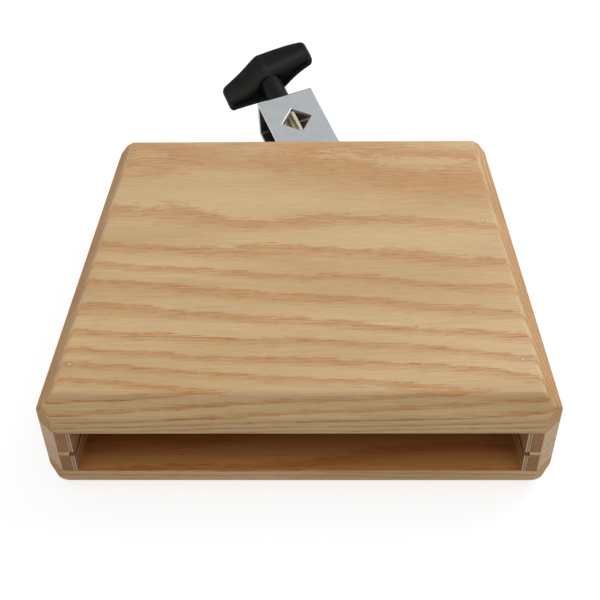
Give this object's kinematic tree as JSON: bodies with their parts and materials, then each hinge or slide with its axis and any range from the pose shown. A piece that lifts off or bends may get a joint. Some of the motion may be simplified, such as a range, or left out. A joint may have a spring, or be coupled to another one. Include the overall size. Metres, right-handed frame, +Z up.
{
  "type": "woodblock",
  "caption": "Flat slotted woodblock of bevelled ash plates on lined side rails, open at the front, with a swivelling rod clamp and wing screw behind.",
  "frame": {"origin": "middle of the wooden block's flat bottom face", "axes": "+Z up, -Y out of the open mouth, +Y to the rear wall and the clamp, +X to the right seen from the mouth"},
  "size_m": [0.17, 0.2572, 0.0565],
  "materials": {
    "ash_face": "clear satin lacquer over open-grained ash, burned-in grain bands along the width",
    "ash_rail": "clear satin lacquer, grain along the depth, brown end grain at the front",
    "ash_strip": "pale ash, thin satin lacquer",
    "birch_plywood": "thin birch plywood with dark glue lines on its edges",
    "chromed_strap": "bright chrome over bent steel strip",
    "chromed_turned": "bright chrome on turned steel",
    "plated_lug": "satin zinc plating",
    "plated_fastener": "bright zinc plating",
    "nylon": "natural nylon",
    "threaded_steel": "zinc-plated rolled thread, faintly yellow",
    "black_plastic": "satin black moulded plastic"
  },
  "bodies": {
    "block": {"top_plate": "ash_face", "bottom_plate": "ash_face", "upper_left_rail": "ash_rail", "lower_left_rail": "ash_rail", "upper_right_rail": "ash_rail", "lower_right_rail": "ash_rail", "upper_rear_rail": "ash_rail", "lower_rear_rail": "ash_rail", "left_strip": "ash_strip", "right_strip": "ash_strip", "rear_strip": "ash_strip", "upper_left_liner": "birch_plywood", "lower_left_liner": "birch_plywood", "upper_right_liner": "birch_plywood", "lower_right_liner": "birch_plywood", "upper_rear_liner": "birch_plywood", "lower_rear_liner": "birch_plywood", "swivel_lug": "plated_lug", "lug_screws": "plated_fastener"},
    "clamp": {"clamp_strap": "chromed_strap", "pivot_bolt": "plated_fastener", "pivot_lock_nut": "plated_fastener", "upper_pivot_washer": "nylon", "lower_pivot_washer": "nylon", "threaded_bush": "chromed_turned"},
    "screw_washer": {"captive_washer": "chromed_turned"},
    "wing_screw": {"clamp_screw": "threaded_steel", "wing_knob": "black_plastic"}
  },
  "joints": [
    {"name": "clamp_swivel", "type": "hinge", "parent": "block", "child": "clamp", "pos_m": [0.004, 0.1007, 0.0198], "axis": [0, -0.3616, 0.9323], "range_deg": [-44.7, 1.3]},
    {"name": "screw_travel", "type": "slide", "parent": "clamp", "child": "screw_washer", "axis": [-0.3697, 0.8663, 0.336], "range_m": [0, 0.01201]},
    {"name": "wing_turn", "type": "hinge", "parent": "screw_washer", "child": "wing_screw", "pos_m": [-0.00284, 0.11673, 0.02602], "axis": [-0.3697, 0.8663, 0.336], "range_deg": [0, 3456]}
  ],
  "couplings": [
    {"joint": "screw_travel", "follows": "wing_turn", "m_per_rad": 0.00019894}
  ]
}
